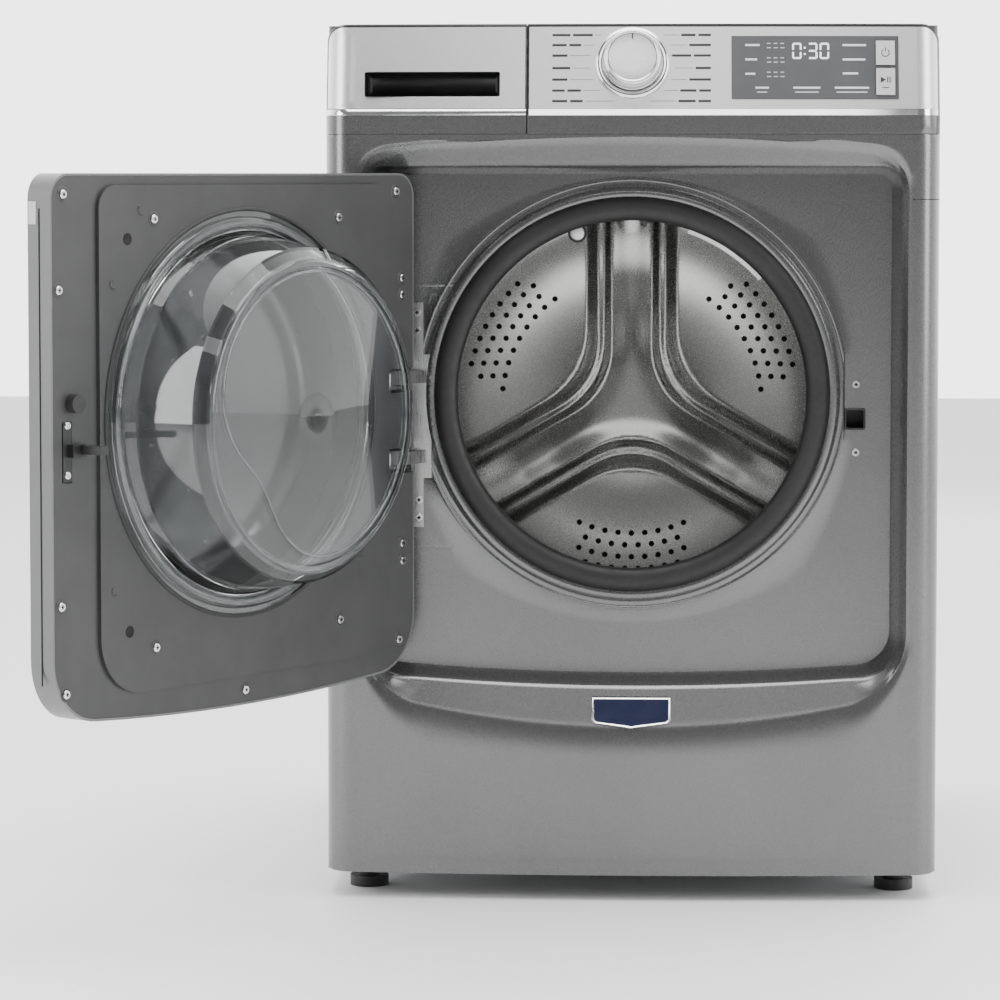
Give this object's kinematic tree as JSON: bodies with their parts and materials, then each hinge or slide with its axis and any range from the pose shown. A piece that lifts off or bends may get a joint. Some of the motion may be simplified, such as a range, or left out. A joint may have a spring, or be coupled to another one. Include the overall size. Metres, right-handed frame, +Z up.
{
  "type": "front load washing machine",
  "caption": "Free-standing front load washing machine with a bowed steel front, clear-bowl door shown open, programme knob, display and dispenser drawer.",
  "frame": {"origin": "on the floor at the centre of the four levelling feet", "axes": "+Z up; the front with the door faces -Y; +X is to the right when facing the front"},
  "size_m": [0.9473, 1.2351, 0.981],
  "materials": {
    "cabinet_paint": "metallic slate, satin",
    "zinc_sheet": "galvanised, satin",
    "console_steel": "horizontal brushed",
    "bright_trim": "polished",
    "knob_metal": "spun",
    "black_plastic": "matte",
    "display_plastic": "semi gloss",
    "key_plastic": "satin",
    "door_plastic": "satin",
    "gasket_rubber": "matte",
    "black_rubber": "matte",
    "clear_glass": "polished",
    "smoked_window": "polished",
    "drum_steel": "satin stainless",
    "hinge_steel": "satin",
    "screw_steel": "plated",
    "tub_plastic": "matte",
    "tray_plastic": "semi gloss",
    "weight_iron": "rough",
    "cast_alloy": "cast",
    "shaft_steel": "ground",
    "motor_case": "satin",
    "board_green": "matte",
    "valve_plastic": "matte",
    "plate_blue": "gloss"
  },
  "bodies": {
    "root": {"side_panel_left": "cabinet_paint", "side_panel_right": "cabinet_paint", "rear_panel": "zinc_sheet", "top_panel": "cabinet_paint", "base_pan": "zinc_sheet", "front_panel": "cabinet_paint", "cross_braces": "zinc_sheet", "console_base": "black_plastic", "console_fascia": "console_steel", "console_trim": "bright_trim", "display_window": "display_plastic", "ui_board": "board_green", "knob_ring": "bright_trim", "encoder": "black_plastic", "drawer_housing": "tray_plastic", "leveling_feet": "black_rubber", "foot_locknuts": "screw_steel", "hinge_plate": "hinge_steel", "front_screws": "screw_steel", "door_lock": "black_plastic", "door_gasket": "gasket_rubber", "name_plate": "plate_blue", "suspension_springs": "screw_steel", "dampers": "black_plastic", "drain_pump": "valve_plastic", "sump_hose": "black_rubber", "drain_outlet": "valve_plastic", "dispenser_hose": "black_rubber", "inlet_valves": "valve_plastic", "cord_gland": "black_plastic", "main_control": "valve_plastic"},
    "tub": {"tub_front": "tub_plastic", "tub_rear": "tub_plastic", "bearings": "shaft_steel", "shaft_seal": "black_rubber", "counterweights": "weight_iron", "heater": "screw_steel", "motor": "motor_case", "drive_belt": "black_rubber"},
    "drum": {"drum_shell": "drum_steel", "drum_back": "drum_steel", "drum_baffles": "drum_steel", "drum_spider": "cast_alloy", "drive_shaft": "shaft_steel", "drum_pulley": "cast_alloy"},
    "motor_wheel": {"motor_pulley": "shaft_steel"},
    "door": {"door_outer_frame": "cabinet_paint", "door_window": "smoked_window", "door_inner_panel": "door_plastic", "glass_bowl": "clear_glass", "hinge_leaf": "hinge_steel", "door_strike": "black_plastic", "door_screws": "screw_steel", "door_bumper": "black_rubber"},
    "drawer": {"drawer_front": "console_steel", "drawer_tray": "tray_plastic"},
    "knob": {"knob_cap": "knob_metal"},
    "power_key": {"power_button": "key_plastic"},
    "start_key": {"start_button": "key_plastic"},
    "impeller": {"pump_impeller": "black_plastic"}
  },
  "joints": [
    {"name": "door_hinge", "type": "hinge", "parent": "root", "child": "door", "pos_m": [-0.273, -0.377, 0.54], "axis": [0, 0, -1], "range_deg": [-125.4, 0]},
    {"name": "tub_suspension", "type": "slide", "parent": "root", "child": "tub", "axis": [0, 0, 1], "range_m": [-0.01, 0.01], "stiffness_N_per_m": 15000, "springref_m": 0.05966, "deforming": ["suspension_springs", "dampers", "sump_hose", "dispenser_hose", "door_gasket"]},
    {"name": "drum_spin", "type": "hinge", "parent": "tub", "child": "drum", "pos_m": [0, -0.345, 0.565], "axis": [0, 0.9969, -0.0785], "continuous": true},
    {"name": "motor_spin", "type": "hinge", "parent": "tub", "child": "motor_wheel", "pos_m": [0.09, -0.37419, 0.19415], "axis": [0, 0.9969, -0.0785], "continuous": true},
    {"name": "drawer_slide", "type": "slide", "parent": "root", "child": "drawer", "axis": [0, -1, 0], "range_m": [0, 0.215]},
    {"name": "knob_turn", "type": "hinge", "parent": "root", "child": "knob", "pos_m": [0, -0.39278, 0.937], "axis": [0, -0.9713, 0.2381], "continuous": true},
    {"name": "power_press", "type": "slide", "parent": "root", "child": "power_key", "axis": [0, 1, 0], "range_m": [0, 0.0015], "stiffness_N_per_m": 800},
    {"name": "start_press", "type": "slide", "parent": "root", "child": "start_key", "axis": [0, 1, 0], "range_m": [0, 0.0015], "stiffness_N_per_m": 800},
    {"name": "impeller_spin", "type": "hinge", "parent": "root", "child": "impeller", "pos_m": [0.205, -0.265, 0.092], "axis": [0, 1, 0], "continuous": true}
  ],
  "couplings": [
    {"joint": "motor_spin", "follows": "drum_spin", "ratio": 12.5}
  ]
}
